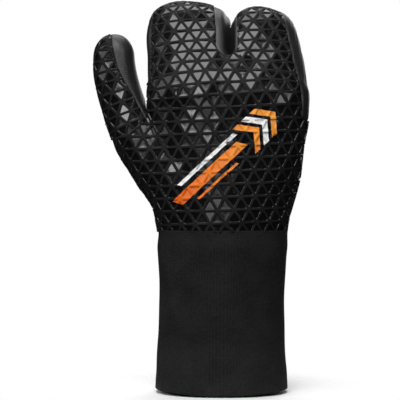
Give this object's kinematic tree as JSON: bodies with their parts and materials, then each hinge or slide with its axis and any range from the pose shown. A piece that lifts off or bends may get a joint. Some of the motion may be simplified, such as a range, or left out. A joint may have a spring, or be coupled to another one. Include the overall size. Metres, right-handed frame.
{
  "type": "neoprene lobster mitt",
  "caption": "Right-hand neoprene mitt with a thumb, two wide finger compartments, embossed rubber-coated panels, smooth strips between them and a long smooth cuff, filled out as worn.",
  "frame": {"origin": "the middle of the cuff's open rim, where the forearm goes in and holds the mitt up", "axes": "+Z from the rim up to the fingers, +X to the little finger's side, -Y the way the back of the hand faces, so the fingers curl towards +Y"},
  "size_m": [0.1495, 0.0981, 0.2758],
  "materials": {
    "embossed_rubber": "embossed with a lattice of small glossy triangles between satin ridges",
    "smooth_rubber": "smooth satin skin",
    "jersey": "matte stretch jersey on neoprene"
  },
  "bodies": {
    "root": {"back_panel": "embossed_rubber", "palm_panel": "embossed_rubber", "thumb_panel": "embossed_rubber", "thumb_strip": "smooth_rubber", "gap_strip": "smooth_rubber", "index_side_strip": "smooth_rubber", "little_side_strip": "smooth_rubber", "cuff": "jersey"}
  },
  "joints": []
}
